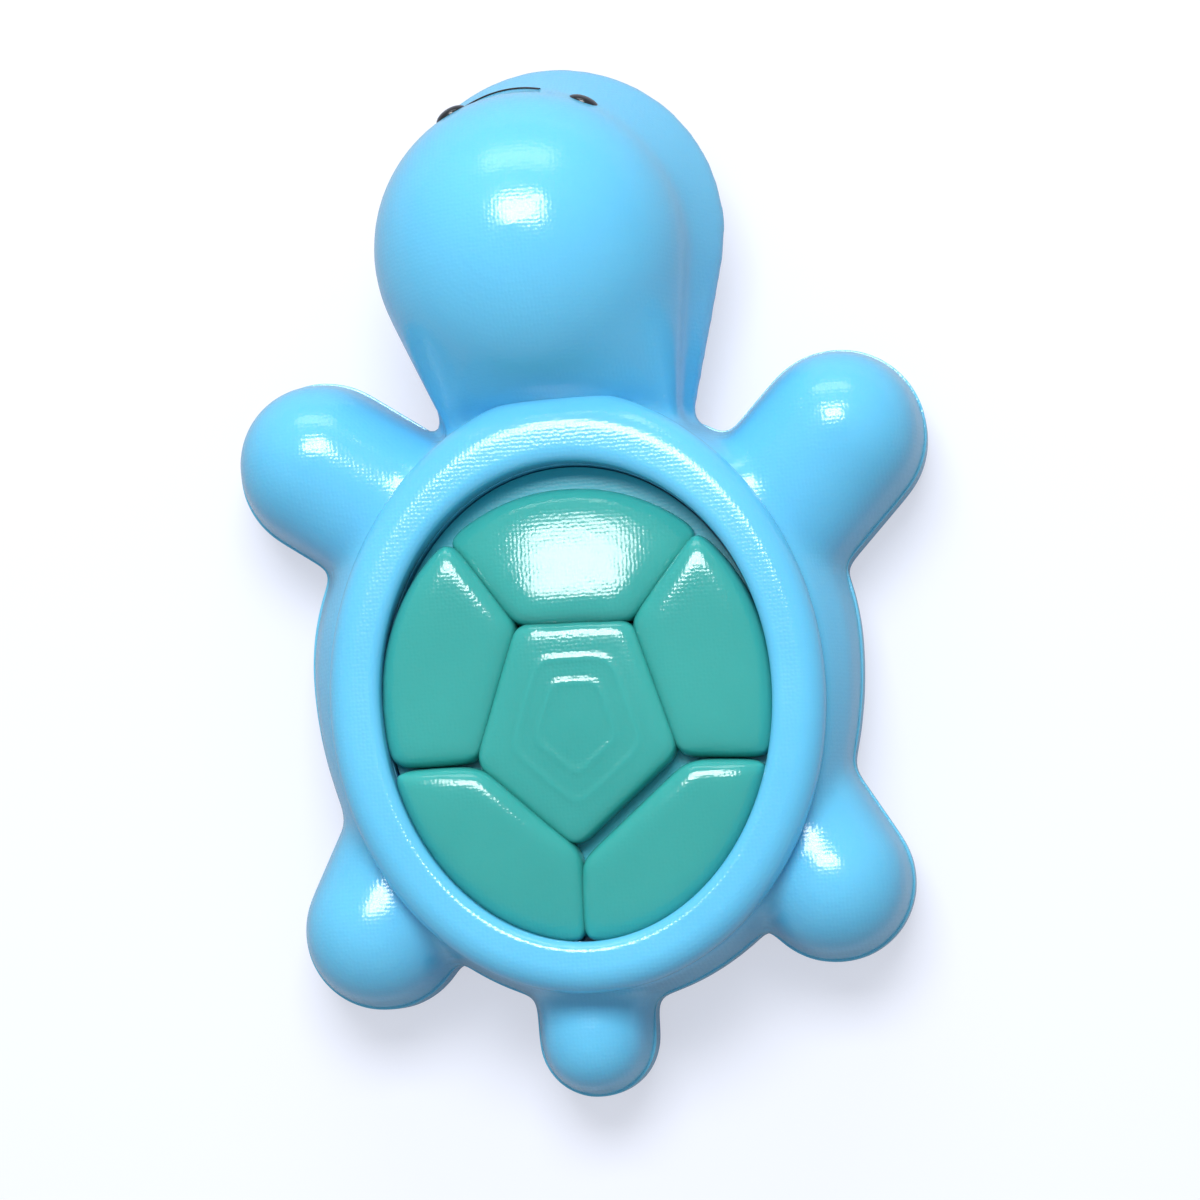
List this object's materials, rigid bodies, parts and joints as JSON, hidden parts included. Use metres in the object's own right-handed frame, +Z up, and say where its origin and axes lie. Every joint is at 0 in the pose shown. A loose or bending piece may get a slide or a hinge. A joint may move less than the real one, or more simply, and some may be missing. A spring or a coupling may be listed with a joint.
{
  "type": "turtle keychain",
  "caption": "Moulded turtle keychain with a domed head, stubby limbs, an oval shell rim round a mosaic of soft scutes, and a split key ring hung from a steel eye under the chin.",
  "frame": {"origin": "on the surface that the belly rests on, under the middle of the shell's oval", "axes": "+Y to the head, +X to the turtle's right, +Z up out of the shell"},
  "size_m": [0.0488, 0.0723, 0.0227],
  "materials": {
    "body": "glossy light-blue moulding with a fine stipple",
    "bed": "dark teal, glossy",
    "scutes": "soft teal pads, slightly clear, glossy with a fine stipple",
    "eyes": "glossy black",
    "steel": "bright nickel plate"
  },
  "bodies": {
    "turtle": {"body_upper": "body", "body_lower": "body", "shell_rim": "body", "shell_bed": "bed", "front_scute": "scutes", "left_front_scute": "scutes", "right_front_scute": "scutes", "centre_scute": "scutes", "left_rear_scute": "scutes", "right_rear_scute": "scutes", "left_eye": "eyes", "right_eye": "eyes", "ring_eye": "steel"},
    "key_ring": {"key_ring": "steel"}
  },
  "joints": [
    {"name": "key_ring_swing", "type": "hinge", "parent": "turtle", "child": "key_ring", "pos_m": [0, 0.0239, 0.00248], "axis": [1, 0, 0], "range_deg": [-110, 10]}
  ]
}
